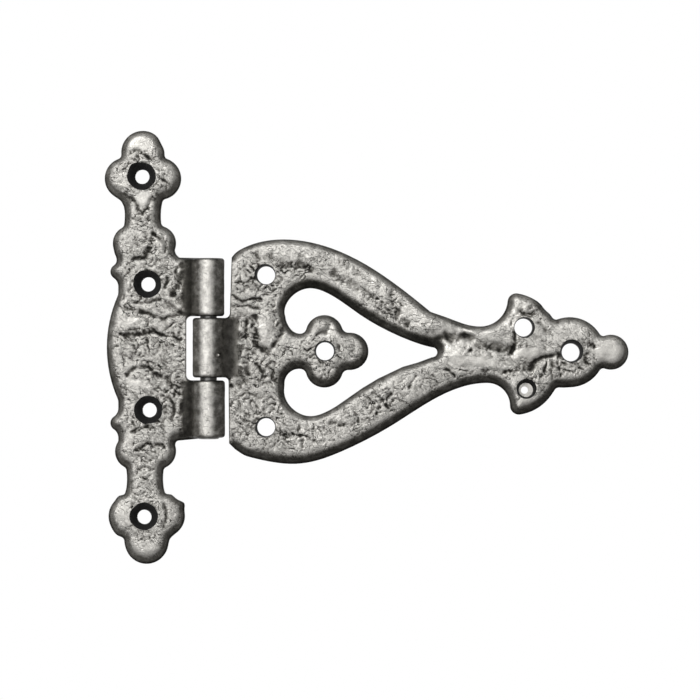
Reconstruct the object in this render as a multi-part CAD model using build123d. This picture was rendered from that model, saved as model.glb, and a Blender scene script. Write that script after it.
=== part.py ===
from build123d import *
import os

# A cast tee hinge, drawn as it hangs: the pin upright along Z, the mounting
# face at y = 0 and the decorated front towards -Y. X runs from the frame plate
# to the point of the door strap. The origin lies on the back of the frame
# plate, half way between its two inner screws. Millimetres throughout.
#
# Outlines are drawn flat, with x measured from the pin axis. Heights of the
# frame plate are measured from its middle, and those of the strap from the
# strap's own axis, which lies a little lower.

# Both castings
leaf_thickness = 4.0
rim_bevel = 1.9
notch_radius = 1.3
crease_radius = 4.0
frame_square_reach = 8.2
strap_square_reach = 7.0

# Pin and barrel
pin_offset = 17.5
pin_radius = 2.45
running_clearance = 0.08
barrel_radius = 4.6
barrel_middle = -0.1
barrel_edge_bevel = 0.5
strap_knuckle_length = 17.3
upper_knuckle_length = 16.8
lower_knuckle_length = 16.6
upper_gap = 0.5
lower_gap = 0.85
peen_radius = 3.1
peen_face_radius = 2.7
peen_height = 0.45

# Screw holes of the frame plate
inner_screw_spacing = 36.6
outer_screw_spacing = 99.0
outer_screw_offset = 19.05
screw_hole_radius = 2.1
countersink_radius = 4.15
countersink_angle = 90.0

# Trefoil ends, necks and shoulders of the frame plate. The casting leans a
# little, so each end has its own distance from the pin.
upper_foil_offset = 19.2
lower_foil_offset = 18.1
foil_lobe_radius = 6.1
foil_side_reach = 5.0
foil_side_drop = 0.4
foil_tip_radius = 6.3
foil_tip_reach = 7.2
upper_neck_offset = 19.25
lower_neck_offset = 18.6
neck_half_width = 5.2
neck_flare = 0.8
neck_top_drop = 6.0
neck_foot_rise = 2.7
shoulder_height = 30.3
shoulder_bead_radius = 5.1
shoulder_overhang = 3.5
shoulder_inner_reach = 9.6
shoulder_foot_reach = 10.0

# Hammered left edge of the frame plate: a shallow belly, a waist above and below
# it, and a nib between each waist and its shoulder
belly_reach = 29.7
belly_radius = 37.0
waist_reach = 26.35
nib_reach = 28.65
nib_height = 22.0
nib_radius = 2.2
hollow_radius = 3.0
cutout_reach = 6.6
cutout_corner_radius = 1.5

# Screw holes of the door strap, those of the tail measured from its foil
strap_axis = -1.16
strap_hole_radius = 2.6
heel_screw_offset = 16.7
heel_screw_spacing = 44.2
trefoil_screw_offset = 33.8
tip_screw_shift = 0.3
upper_ear_screw = (-13.5, 6.9)
lower_ear_screw = (-12.7, -10.6)
flash_thickness = 0.8
flash_mouth_radius = 3.05
flash_floor_radius = 2.15
flash_hole_radius = 1.05
flash_hole_shift = (-0.4, -0.7)

# Outside edges of the strap's two arms: from the heel over the hip, the crown
# and the back of the heart down to the foot, then the bend and the waist
web_corner_radius = 1.2
upper_heel, upper_hip, upper_crown = (6.2, 27.6), (12.5, 31.1), (23.0, 32.55)
upper_back, upper_slope, upper_foot = (37.5, 29.3), (52.0, 21.2), (64.5, 11.5)
upper_bend, upper_waist = (71.0, 9.2), (79.0, 7.25)
lower_heel, lower_hip, lower_crown = (5.6, -27.0), (12.0, -30.8), (23.5, -32.75)
lower_back, lower_slope, lower_foot = (38.0, -29.4), (54.0, -21.1), (68.0, -12.6)
lower_bend, lower_waist = (74.5, -10.1), (81.0, -9.2)
foot_direction = (3.0, -1.0)
heel_direction = (-1.0, 0.75)

# Heart opening, drawn for its upper half: side, cheek, crown, shoulder, slope,
# taper and the end of the taper
opening_drop = 0.25
opening_side, opening_cheek, opening_crown = (22.0, 9.8), (23.9, 16.0), (29.0, 18.6)
opening_shoulder, opening_slope = (34.5, 17.2), (44.0, 10.9)
opening_taper, opening_end = (54.0, 5.3), (65.0, 1.4)
opening_point = 66.5

# Trefoil that hangs into the heart from the heel
trefoil_side_offset = 33.6
trefoil_side_reach = 5.1
trefoil_point_offset = 41.0
trefoil_lobe_radius = 5.45
trefoil_notch_radius = 1.9
root_half_width = 5.1
root_bend = (23.1, 6.5)
root_end_offset = 26.4

# Foil at the tip of the strap
strap_reach = 122.1
tip_drop = 0.25
tip_foil_radius = 10.2
tip_lobe_radius = 5.1
tip_lobe_spacing = 12.0

# Ears above and below the tail, measured from the foil: where each barb starts,
# where it ends and where the ear's back meets the foil
ear_root_overlap = 6.0
upper_barb_start, upper_barb_end, upper_ear_end = (-18.0, 14.6), (-15.1, 16.85), (-4.8, 9.4)
lower_barb_start, lower_barb_end, lower_ear_end = (-17.3, -15.9), (-14.4, -18.4), (-4.2, -10.6)

# Places along the strap
tip_lobe_offset = strap_reach - tip_lobe_radius
tip_foil_offset = tip_lobe_offset - tip_lobe_spacing

# Heights along the barrel
strap_knuckle_bottom = barrel_middle - strap_knuckle_length / 2
strap_knuckle_top = barrel_middle + strap_knuckle_length / 2
lower_knuckle_top = strap_knuckle_bottom - lower_gap
lower_knuckle_bottom = lower_knuckle_top - lower_knuckle_length
upper_knuckle_bottom = strap_knuckle_top + upper_gap
upper_knuckle_top = upper_knuckle_bottom + upper_knuckle_length


def disc(x, z, radius):
    """A round patch of an outline."""
    return Pos(x, z) * Circle(radius)


def block(x_min, x_max, z_min, z_max):
    """A straight-sided patch of an outline."""
    width, height = x_max - x_min, z_max - z_min
    return Pos(x_min + width / 2, z_min + height / 2) * Rectangle(width, height)


def beside_foil(point):
    """A point of the tail, given from the middle of the foil at the strap's tip."""
    return (tip_foil_offset + point[0], point[1])


def tail_screw(point):
    """Where an ear's screw hole lies, counted from the pin and the frame plate's middle."""
    offset_from_pin, height = beside_foil(point)
    return (offset_from_pin, strap_axis + height)


def below(point):
    """The same point on the lower half of a symmetrical outline."""
    return (point[0], -point[1])


def soften(outline, radius):
    """Rounds the inward corners of an outline made of arcs, as a moulder's tool leaves them."""
    return offset(offset(outline, amount=radius, kind=Kind.ARC), amount=-radius, kind=Kind.ARC)


def along_barrel(radius, bottom, top):
    """A cylinder on the pin's axis between two heights."""
    return Pos(0, -barrel_radius, (bottom + top) / 2) * Cylinder(radius, top - bottom)


def knuckle(bottom, top):
    """One eye of the barrel, solid, the edges of its ends broken."""
    eye = along_barrel(barrel_radius, bottom, top)
    return chamfer(eye.edges().filter_by(GeomType.CIRCLE), barrel_edge_bevel)


def crease(side, bottom, top):
    """The hollow between barrel and leaf: side is 1 on the strap and -1 on the frame plate."""
    axis = Vector(0, -barrel_radius)
    rise = leaf_thickness + crease_radius - barrel_radius
    reach = ((barrel_radius + crease_radius) ** 2 - rise ** 2) ** 0.5
    centre = Vector(side * reach, -leaf_thickness - crease_radius)
    on_barrel = axis + (centre - axis).normalized() * barrel_radius
    on_leaf = Vector(side * reach, -leaf_thickness)
    middle = centre + ((on_barrel - centre) + (on_leaf - centre)).normalized() * crease_radius
    profile = make_face([
        ThreePointArc(on_barrel, middle, on_leaf),
        Polyline(on_leaf, (side * reach, -leaf_thickness / 2), (0, -leaf_thickness / 2), axis,
                 on_barrel),
    ])
    return Pos(0, 0, bottom) * extrude(profile, top - bottom, dir=(0, 0, 1))


def cast_leaf(outline, square_reach):
    """A leaf with its back at y = 0. Its front rim is bevelled beyond square_reach of the pin."""
    leaf = extrude(Plane.XZ * outline, leaf_thickness)
    front = leaf.faces().sort_by(Axis.Y)[0]
    rim = [edge for edge in front.edges() if abs((edge @ 0.5).X) > square_reach]
    return chamfer(rim, rim_bevel)


def on_front(x, z):
    """A place on the leaf's front face, with its own z pointing out of it."""
    return Plane.XZ.offset(leaf_thickness) * Pos(x, z)


def countersunk(x, z):
    """A countersunk screw hole of the frame plate."""
    return on_front(x, z) * CounterSinkHole(
        screw_hole_radius, countersink_radius, leaf_thickness, countersink_angle)


def plain(x, z):
    """A plain screw hole of the strap, cast straight through."""
    return on_front(x, z) * Hole(strap_hole_radius, leaf_thickness)


def flashed(x, z):
    """The strap's badly cast hole: it narrows to a thin web of flash with a small opening."""
    depth = leaf_thickness - flash_thickness
    well = Pos(0, 0, -depth / 2) * Cone(flash_floor_radius, flash_mouth_radius, depth)
    leak = Pos(*flash_hole_shift) * Hole(flash_hole_radius, leaf_thickness)
    return on_front(x, z) * (well + leak)


def frame_end(side, foil_offset, neck_offset):
    """Trefoil, neck and shoulder at one end of the frame plate: side is 1 above and -1 below."""
    screw_height = side * outer_screw_spacing / 2
    lobe_height = screw_height - side * foil_side_drop
    foil = disc(-foil_offset - foil_side_reach, lobe_height, foil_lobe_radius)
    foil += disc(-foil_offset + foil_side_reach, lobe_height, foil_lobe_radius)
    foil += disc(-foil_offset, screw_height + side * foil_tip_reach, foil_tip_radius)
    left, right = -neck_offset - neck_half_width, -neck_offset + neck_half_width
    top = screw_height - side * neck_top_drop
    foot = side * (shoulder_height + neck_foot_rise)
    middle = (top + foot) / 2
    neck = make_face([
        ThreePointArc((left - neck_flare, foot), (left, middle), (left - neck_flare, top)),
        Polyline((left - neck_flare, top), (left, screw_height), (right, screw_height),
                 (right + neck_flare, top)),
        ThreePointArc((right + neck_flare, top), (right, middle), (right + neck_flare, foot)),
        Line((right + neck_flare, foot), (left - neck_flare, foot)),
    ])
    height = side * shoulder_height
    outer = left - shoulder_overhang + shoulder_bead_radius
    inner = -shoulder_inner_reach - shoulder_bead_radius
    shoulder = disc(outer, height, shoulder_bead_radius) + disc(inner, height, shoulder_bead_radius)
    shoulder += block(outer, inner, height - shoulder_bead_radius, height + shoulder_bead_radius)
    foot_middle = height - side * shoulder_bead_radius / 2
    shoulder += block(inner, -shoulder_foot_reach, foot_middle - shoulder_bead_radius / 2,
                      foot_middle + shoulder_bead_radius / 2)
    return foil + neck + shoulder


def frame_edge():
    """The uneven left edge: belly, waists and nibs, all in arcs."""
    edge = block(-belly_reach, -pin_offset, -nib_height, nib_height)
    edge &= disc(belly_radius - belly_reach, 0, belly_radius)
    edge += block(-waist_reach, -pin_offset, -shoulder_height, shoulder_height)
    for side in (1, -1):
        edge += disc(nib_radius - nib_reach, side * nib_height, nib_radius)
    return soften(edge, hollow_radius)


def frame_outline():
    """The frame plate with both ends, cut away beside the strap's knuckle."""
    plate = frame_edge() + block(-pin_offset, 0, lower_knuckle_bottom, upper_knuckle_top)
    plate += frame_end(1, upper_foil_offset, upper_neck_offset)
    plate += frame_end(-1, lower_foil_offset, lower_neck_offset)
    cutout = block(-cutout_reach, cutout_reach, lower_knuckle_top, upper_knuckle_bottom)
    return soften(plate, notch_radius) - fillet(cutout.vertices(), cutout_corner_radius)


def frame_plate():
    """The frame casting: leaf, two knuckles, four countersunk holes."""
    plate = cast_leaf(frame_outline(), frame_square_reach)
    plate += knuckle(lower_knuckle_bottom, lower_knuckle_top)
    plate += knuckle(upper_knuckle_bottom, upper_knuckle_top)
    plate += crease(-1, lower_knuckle_bottom, lower_knuckle_top)
    plate += crease(-1, upper_knuckle_bottom, upper_knuckle_top)
    plate -= along_barrel(pin_radius, lower_knuckle_bottom, upper_knuckle_top)
    for side in (1, -1):
        plate -= countersunk(-pin_offset, side * inner_screw_spacing / 2)
        plate -= countersunk(-outer_screw_offset, side * outer_screw_spacing / 2)
    return plate


def ear(waist, barb_start, barb_end, end):
    """One ear of the strap in three tangent arcs, closed down to the strap's axis."""
    barb_start, barb_end, end = (beside_foil(point) for point in (barb_start, barb_end, end))
    hollow = TangentArc(waist, barb_start, tangent=(1, 0))
    barb = TangentArc(barb_start, barb_end, tangent=hollow % 1)
    back = TangentArc(barb_end, end, tangent=barb % 1)
    root = Polyline(end, (end[0], 0), (waist[0] - ear_root_overlap, 0), waist)
    return make_face([hollow, barb, back, root])


def heart_opening():
    """The heart between the arms, with the trefoil left standing in it."""
    upper = [opening_side, opening_cheek, opening_crown, opening_shoulder, opening_slope,
             opening_taper, opening_end]
    lower = [below(point) for point in upper]
    heart = make_face([
        Spline(*upper),
        ThreePointArc(opening_end, (opening_point, 0), below(opening_end)),
        Spline(*lower),
        Line(below(opening_side), opening_side),
    ])
    trefoil = disc(trefoil_point_offset, 0, trefoil_lobe_radius)
    for side in (1, -1):
        trefoil += disc(trefoil_side_offset, side * trefoil_side_reach, trefoil_lobe_radius)
    trefoil += block(opening_side[0], trefoil_side_offset, -root_half_width, root_half_width)
    root_end = (root_end_offset, root_half_width)
    root = make_face([
        ThreePointArc(opening_side, root_bend, root_end),
        Line(root_end, below(root_end)),
        ThreePointArc(below(root_end), below(root_bend), below(opening_side)),
        Line(below(opening_side), opening_side),
    ])
    return Pos(0, -opening_drop) * heart - (soften(trefoil, trefoil_notch_radius) + root)


def strap_outline():
    """The strap: heel and web, two arms round the heart, ears and foil at the tip."""
    arms = make_face([
        Spline(upper_heel, upper_hip, upper_crown, upper_back, upper_slope, upper_foot),
        Spline(upper_foot, upper_bend, upper_waist, tangents=[foot_direction, (1, 0)]),
        Line(upper_waist, lower_waist),
        Spline(lower_waist, lower_bend, lower_foot, lower_slope, lower_back, lower_crown, lower_hip,
               lower_heel, tangents=[(-1, 0), heel_direction]),
        Line(lower_heel, upper_heel),
    ])
    tail = ear(upper_waist, upper_barb_start, upper_barb_end, upper_ear_end)
    tail += ear(lower_waist, lower_barb_start, lower_barb_end, lower_ear_end)
    tail += disc(tip_foil_offset, -tip_drop, tip_foil_radius)
    tail += disc(tip_lobe_offset, -tip_drop, tip_lobe_radius)
    web = block(0, 2 * upper_heel[0], strap_knuckle_bottom - strap_axis, strap_knuckle_top - strap_axis)
    outline = arms + soften(tail, notch_radius) + web
    corners = [vertex for vertex in outline.vertices()
               if 0 < vertex.X < upper_hip[0] and abs(vertex.Y) < strap_knuckle_length]
    return fillet(corners, web_corner_radius) - heart_opening()


def door_strap():
    """The strap casting: pierced leaf, centre knuckle, five open screw holes and the flashed one."""
    strap = Pos(0, 0, strap_axis) * cast_leaf(strap_outline(), strap_square_reach)
    strap += knuckle(strap_knuckle_bottom, strap_knuckle_top)
    strap += crease(1, strap_knuckle_bottom, strap_knuckle_top)
    strap -= along_barrel(pin_radius + running_clearance, strap_knuckle_bottom, strap_knuckle_top)
    for side in (1, -1):
        strap -= plain(heel_screw_offset, strap_axis + side * heel_screw_spacing / 2)
    strap -= plain(trefoil_screw_offset, strap_axis)
    strap -= plain(tip_foil_offset + tip_screw_shift, strap_axis)
    strap -= plain(*tail_screw(upper_ear_screw))
    strap -= flashed(*tail_screw(lower_ear_screw))
    return strap


def hinge_pin():
    """The steel pin, driven through both castings, flush above and peened over below."""
    pin = along_barrel(pin_radius, lower_knuckle_bottom, upper_knuckle_top)
    peen_middle = lower_knuckle_bottom - peen_height / 2
    peen = Pos(0, -barrel_radius, peen_middle) * Cone(peen_face_radius, peen_radius, peen_height)
    return pin + peen


os.makedirs("parts", exist_ok=True)
parts = {"frame_plate": frame_plate(), "door_strap": door_strap(), "hinge_pin": hinge_pin()}
for name, solid in parts.items():
    export_step(Pos(pin_offset, 0, 0) * solid, f"parts/{name}.step")
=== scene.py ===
import bpy
import numpy as np
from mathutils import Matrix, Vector


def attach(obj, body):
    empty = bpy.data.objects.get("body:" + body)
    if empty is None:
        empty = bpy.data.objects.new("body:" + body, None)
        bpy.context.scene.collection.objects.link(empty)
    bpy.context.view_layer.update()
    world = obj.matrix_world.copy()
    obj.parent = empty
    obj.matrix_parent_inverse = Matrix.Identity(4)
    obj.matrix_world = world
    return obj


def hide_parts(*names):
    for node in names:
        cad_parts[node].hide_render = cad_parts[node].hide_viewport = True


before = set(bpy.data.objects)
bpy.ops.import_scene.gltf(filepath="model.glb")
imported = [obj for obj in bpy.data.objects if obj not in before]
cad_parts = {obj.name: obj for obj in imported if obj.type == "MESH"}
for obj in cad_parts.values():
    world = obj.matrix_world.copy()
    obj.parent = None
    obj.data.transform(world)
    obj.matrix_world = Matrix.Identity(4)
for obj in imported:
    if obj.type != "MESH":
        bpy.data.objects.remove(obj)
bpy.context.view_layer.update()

# FRAME PLATE
# The leaf that is screwed to the frame or post, cast in iron with its two
# knuckles in one sand mould, so its front is wrinkled and its rim slopes. Four
# holes were countersunk afterwards. All sizes are in millimetres from here on.
per_metre = 1000
pin_x, pin_y = 17.5, -4.6
knuckle_radius, knuckle_rounding = 4.6, 0.85
leaf_depth = 4.0
rim_drop, rim_softness = 1.9, 0.7
crease_radius, crease_start, crease_foot = 4.0, 4.23, 7.9
grid_step = 0.32

# Screw holes, by x and z of their middles, and eyes, by the heights of their ends.
frame_holes = [(0.0, 18.3), (0.0, -18.3), (-1.55, 49.5), (-1.55, -49.5)]
frame_eyes = [(-26.2, -9.6), (9.05, 25.85)]
# Where the outline is uneven: x from the pin, z, how far it is pushed in x and z, and over what reach.
frame_pushes = [
    (-8.6, -26.8, 0.5, -1.0, 1.8), (-25.8, -54.5, -0.5, -0.3, 2.5), (-7.4, -45.4, 1.1, 0.5, 1.3),
    (-25.9, -43.4, -0.35, 0.45, 1.4), (-11.2, -42.6, 0.3, 0.6, 1.3), (-9.4, 26.5, 0.4, 0.5, 1.2),
    (-25.4, 42.6, -0.4, -0.3, 1.3), (-26.6, 26.5, -0.6, -0.1, 1.5), (-11.4, -55.3, 0.5, -0.2, 1.2),
    (-13.8, 59.4, -0.4, -0.15, 2.0),
]
# Creases (negative) and bumps of the mould: a line by x from the pin and z, its width, its height.
frame_marks = [
    ([(-26.8, 12.4), (-23.2, 11.5), (-18.9, 10.2), (-12.7, 8.4), (-8.4, 10.0)], 0.7, -0.38),
    ([(-26.2, 3.8), (-22.5, 3.8), (-17.6, 4.7), (-12.7, 3.8), (-8.4, 2.6)], 0.7, -0.42),
    ([(-24.5, 7.2), (-20.5, 7.4)], 2.3, 0.34), ([(-22.5, -11.0), (-18.5, -10.8)], 2.2, 0.22),
    ([(-23.8, -7.6), (-20.7, -6.0), (-17.6, -6.0), (-13.9, -8.5)], 0.8, -0.42),
    ([(-11.8, 19.8), (-12.7, 17.3)], 0.6, -0.4), ([(-9.6, 22.9), (-8.6, 18.6), (-10.3, 15.5)], 0.7, -0.35),
    ([(-14.6, 14.2), (-17.6, 13.0), (-21.9, 13.0)], 0.6, -0.25), ([(-11.8, -8.5), (-9.5, -13.0)], 0.8, -0.35),
    ([(-12.0, -13.0), (-10.0, -18.0), (-11.0, -21.0)], 0.6, -0.35),
    ([(-24.8, 44.6), (-22.4, 43.1), (-19.3, 39.2), (-16.6, 41.9), (-14.6, 44.2)], 0.8, -0.42),
    ([(-20.6, 38.8), (-15.9, 36.6)], 0.6, -0.3), ([(-21.5, 37.6), (-18.0, 36.2)], 0.5, -0.25),
    ([(-15.8, 32.9), (-17.4, 29.0), (-18.1, 26.6), (-21.3, 25.5)], 0.8, -0.45),
    ([(-15.8, 32.9), (-12.7, 31.0), (-12.3, 28.2)], 0.6, -0.35), ([(-14.2, 29.8)], 1.3, 0.3),
    ([(-22.8, 56.8), (-20.1, 57.1), (-17.4, 55.2), (-16.2, 54.4)], 0.55, -0.3),
    ([(-13.4, 48.9), (-11.1, 47.4)], 0.5, -0.3), ([(-26.0, 51.0), (-23.6, 51.7)], 0.5, -0.2),
    ([(-21.0, -30.0), (-17.0, -27.5), (-13.0, -29.0)], 0.6, -0.35),
    ([(-22.0, -24.5), (-18.0, -23.0)], 0.6, -0.3),
    ([(-12.8, -46.0), (-12.2, -49.5), (-13.2, -52.5)], 0.6, -0.35),
    ([(-21.5, -36.0), (-19.0, -34.5), (-16.0, -35.5)], 0.6, -0.3),
]
# Places that were rubbed less (negative) or more, given in the same way; some dark ones are painted shade in
# hollows and on downward slopes, and some bright ones painted light on raised places.
frame_stains_and_shade = [
    ([(-22.0, 42.5), (-21.0, 38.5)], 2.0, -0.20), ([(-24.5, 26.0), (-23.5, 23.0)], 2.2, -0.22),
    ([(-24.5, 2.8), (-17.0, 2.8)], 1.0, -0.25), ([(-26.5, -8.0), (-26.0, -15.0)], 1.2, -0.15),
    ([(-9.0, -4.0), (-9.5, -14.0)], 1.4, -0.14), ([(-22.5, -43.0), (-20.5, -40.0)], 1.6, -0.15),
    ([(-18.5, -56.5)], 2.2, -0.14), ([(-11.0, 18.0), (-10.5, 12.5)], 1.2, -0.12),
    ([(-14.5, 28.5)], 1.6, -0.15), ([(-23.5, 7.0), (-18.0, 6.6)], 1.5, 0.14),
    ([(-20.0, -13.5), (-15.5, -13.8)], 1.5, 0.20), ([(-17.0, 34.0)], 1.6, 0.20),
    ([(-22.5, -32.0), (-17.0, -31.5)], 1.8, 0.12), ([(-18.5, -38.5)], 1.6, 0.12),
    ([(-28.6, 50.0), (-27.6, 46.5)], 1.4, 0.08), ([(-9.6, 52.0), (-9.8, 46.5)], 1.6, 0.10),
    ([(-24.5, -53.0)], 1.6, 0.12), ([(-20.0, -59.5)], 1.6, 0.12),
]
# Smooth places: x from the pin, z, half sizes, and the share of the wrinkles that is missing.
frame_patches = [
    (-19.8, 59.3, 3.4, 2.6, 0.9), (-18.8, 43.0, 2.4, 2.6, 0.85), (-22.5, 7.2, 4.0, 1.8, 0.7),
    (-20.7, -10.8, 3.6, 2.0, 0.6), (-14.0, 30.0, 1.6, 2.2, 0.7), (-18.5, -58.5, 4.0, 2.6, 0.8),
    (-24.5, -49.0, 2.6, 3.4, 0.8), (-25.0, 49.0, 2.2, 3.0, 0.5),
]


def ripple(x, z, wavelength, seed):
    """Smooth random height, about -1 to 1.

    Each corner of a square lattice has a random slope, and quintic weights blend the four slopes round a place."""
    lattice, past_zero = 256, 999
    angle = np.random.default_rng(seed).random((lattice, lattice)) * 2 * np.pi
    u, v = x / wavelength + past_zero, z / wavelength + past_zero
    i, j = np.floor(u).astype(int), np.floor(v).astype(int)
    a, b = u - i, v - j

    def corner(right, up):
        turn = angle[(i + right) % lattice, (j + up) % lattice]
        return np.cos(turn) * (a - right) + np.sin(turn) * (b - up)

    across, along = a ** 3 * (a * (a * 6 - 15) + 10), b ** 3 * (b * (b * 6 - 15) + 10)
    low = corner(0, 0) * (1 - across) + corner(1, 0) * across
    high = corner(0, 1) * (1 - across) + corner(1, 1) * across
    return 1.6 * (low * (1 - along) + high * along)


def fade(value, start, end):
    """0 at start, 1 at end, with a smooth cubic between."""
    t = np.clip((value - start) / (end - start), 0, 1)
    return t * t * (3 - 2 * t)


def lumps(x, z, wavelength, seed):
    """Rounded lumps with sharp creases between them: a ripple's size, whatever its sign, less about its mean."""
    return np.abs(ripple(x, z, wavelength, seed)) - 0.3


def wrinkles(x, z, seed):
    """The crumpled skin of a sand casting.

    Broad dents, and lumps of three sizes with cracks among them, on a warped lattice; finer in some patches."""
    bend_x = x + 1.1 * ripple(x, z, 3.4, seed + 1) + 0.35 * ripple(x, z, 1.3, seed + 2)
    bend_z = z + 1.1 * ripple(x, z, 3.4, seed + 3) + 0.35 * ripple(x, z, 1.3, seed + 4)
    patches = 0.3 + 0.85 * fade(ripple(x, z, 8.0, seed + 5), -0.45, 0.35)
    dents = 0.28 * ripple(x, z, 7.0, seed + 6) + 0.26 * lumps(bend_x, bend_z, 4.6, seed + 7)
    skin = 0.27 * lumps(bend_x, bend_z * 1.4, 2.4, seed + 8) + 0.15 * lumps(bend_x, bend_z, 1.3, seed + 9)
    cracked = fade(ripple(x, z, 3.7, seed + 11), -0.4, 0.2)
    cracks = np.exp(-(ripple(bend_x, bend_z * 1.5, 3.2, seed + 10) / 0.10) ** 2) * cracked
    return dents + patches * (skin - 0.20 * cracks)


def strokes(x, z, marks):
    """Heights of marks, each a bell curve of the distance from a line through its points.

    The lattice is rippled, so that no line is straight, and each mark is deeper in some places than in others."""
    total = np.zeros(np.broadcast(x, z).shape)
    bend_x = x + 0.6 * ripple(x, z, 2.6, 71) + 0.16 * ripple(x, z, 1.1, 72)
    bend_z = z + 0.6 * ripple(x, z, 2.6, 73) + 0.16 * ripple(x, z, 1.1, 74)
    uneven = 0.85 + 0.38 * ripple(bend_x, bend_z, 2.6, 75)
    for points, width, height in marks:
        apart = np.full(total.shape, np.inf)
        for (x0, z0), (x1, z1) in zip(points, points[1:] or points):
            along_x, along_z = x1 - x0, z1 - z0
            from_x, from_z = bend_x - pin_x - x0, bend_z - z0
            share = (from_x * along_x + from_z * along_z) / (along_x ** 2 + along_z ** 2 + 1e-9)
            share = np.clip(share, 0, 1)
            apart = np.minimum(apart, (from_x - share * along_x) ** 2 + (from_z - share * along_z) ** 2)
        total = total + height * uneven * np.exp(-apart / width ** 2)
    return total


def even(x, z, patches):
    """Share of the roughness that is left: 1, less what each patch takes inside its ellipse."""
    left = np.ones(np.broadcast(x, z).shape)
    for middle_x, middle_z, half_x, half_z, taken in patches:
        far = np.hypot((x - pin_x - middle_x) / half_x, (z - middle_z) / half_z) + 0.15 * ripple(x, z, 2.5, 76)
        left = left * (1 - taken * fade(far, 1.15, 0.8))
    return left


def back_edge(packed, holes):
    """Ends, as x and z, of the straight bits of the edge round a packed leaf's flat back, less its screw holes."""
    flat, hole_reach = 0.01, 3.4
    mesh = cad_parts[packed].data
    points = np.empty(len(mesh.vertices) * 3)
    mesh.vertices.foreach_get("co", points)
    points = points.reshape(-1, 3) * per_metre
    corners = np.empty(len(mesh.loops), int)
    mesh.loops.foreach_get("vertex_index", corners)
    back = corners.reshape(-1, 3)
    back = back[np.all(points[back][:, :, 1] > -flat, axis=1)]
    places, same = np.unique(np.round(points[:, [0, 2]], 3), axis=0, return_inverse=True)
    back = same.reshape(-1)[back]
    edges = np.concatenate([back[:, [0, 1]], back[:, [1, 2]], back[:, [2, 0]]])
    size = len(places)
    keys, counts = np.unique(np.sort(edges, axis=1) @ [size, 1], return_counts=True)
    edges = np.stack([keys[counts == 1] // size, keys[counts == 1] % size], axis=1)
    starts, ends = places[edges[:, 0]], places[edges[:, 1]]
    for hole_x, hole_z in holes:
        keep = np.hypot(starts[:, 0] - hole_x, starts[:, 1] - hole_z) > hole_reach
        starts, ends = starts[keep], ends[keep]
    return starts, ends


def pushed(bits, pushes):
    """The bits of an outline after its pushes, each dying away over its reach as a bell curve."""
    moved = []
    for points in bits:
        x, z = points[:, 0], points[:, 1]
        for push_x, push_z, by_x, by_z, reach in pushes:
            apart = (points[:, 0] - pin_x - push_x) ** 2 + (points[:, 1] - push_z) ** 2
            share = np.exp(-apart / reach ** 2)
            x, z = x + by_x * share, z + by_z * share
        moved.append(np.stack([x, z], 1))
    return moved


def depth_inside(starts, ends, sloping, x, z):
    """How far the points of a grid lie inside an outline, and how far from the bits of it that are sloping.

    The least distance to its bits, negative outside, where an even number of bits lies to the right."""
    depth, from_rim = np.empty((len(x), len(z))), np.empty((len(x), len(z)))
    run = ends - starts
    length = np.maximum((run ** 2).sum(axis=1), 1e-12)
    for row, height in enumerate(z):
        from_start = np.stack([x[:, None] - starts[None, :, 0],
                               np.broadcast_to(height - starts[None, :, 1], (len(x), len(starts)))])
        share = np.clip((from_start[0] * run[:, 0] + from_start[1] * run[:, 1]) / length, 0, 1)
        gaps = np.hypot(from_start[0] - share * run[:, 0], from_start[1] - share * run[:, 1])
        gap, from_rim[:, row] = gaps.min(axis=1), gaps[:, sloping].min(axis=1)
        spans = (starts[:, 1] > height) != (ends[:, 1] > height)
        rise = np.where(spans, run[:, 1], 1)
        crossing = starts[:, 0] + run[:, 0] * (height - starts[:, 1]) / rise
        inside = (spans[None, :] & (crossing[None, :] > x[:, None])).sum(axis=1) % 2 == 1
        depth[:, row] = np.where(inside, gap, -gap)
    return depth, np.where(depth > 0, from_rim, np.minimum(depth, from_rim))


def blend_at(field, x, z, at_x, at_z):
    """A grid's value between its points, blended from the four corners round each place."""
    u = np.clip((at_x - x[0]) / grid_step, 0, len(x) - 1.001)
    v = np.clip((at_z - z[0]) / grid_step, 0, len(z) - 1.001)
    i, j = u.astype(int), v.astype(int)
    a, b = u - i, v - j
    return (field[i, j] * (1 - a) * (1 - b) + field[i + 1, j] * a * (1 - b)
            + field[i, j + 1] * (1 - a) * b + field[i + 1, j + 1] * a * b)


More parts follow.
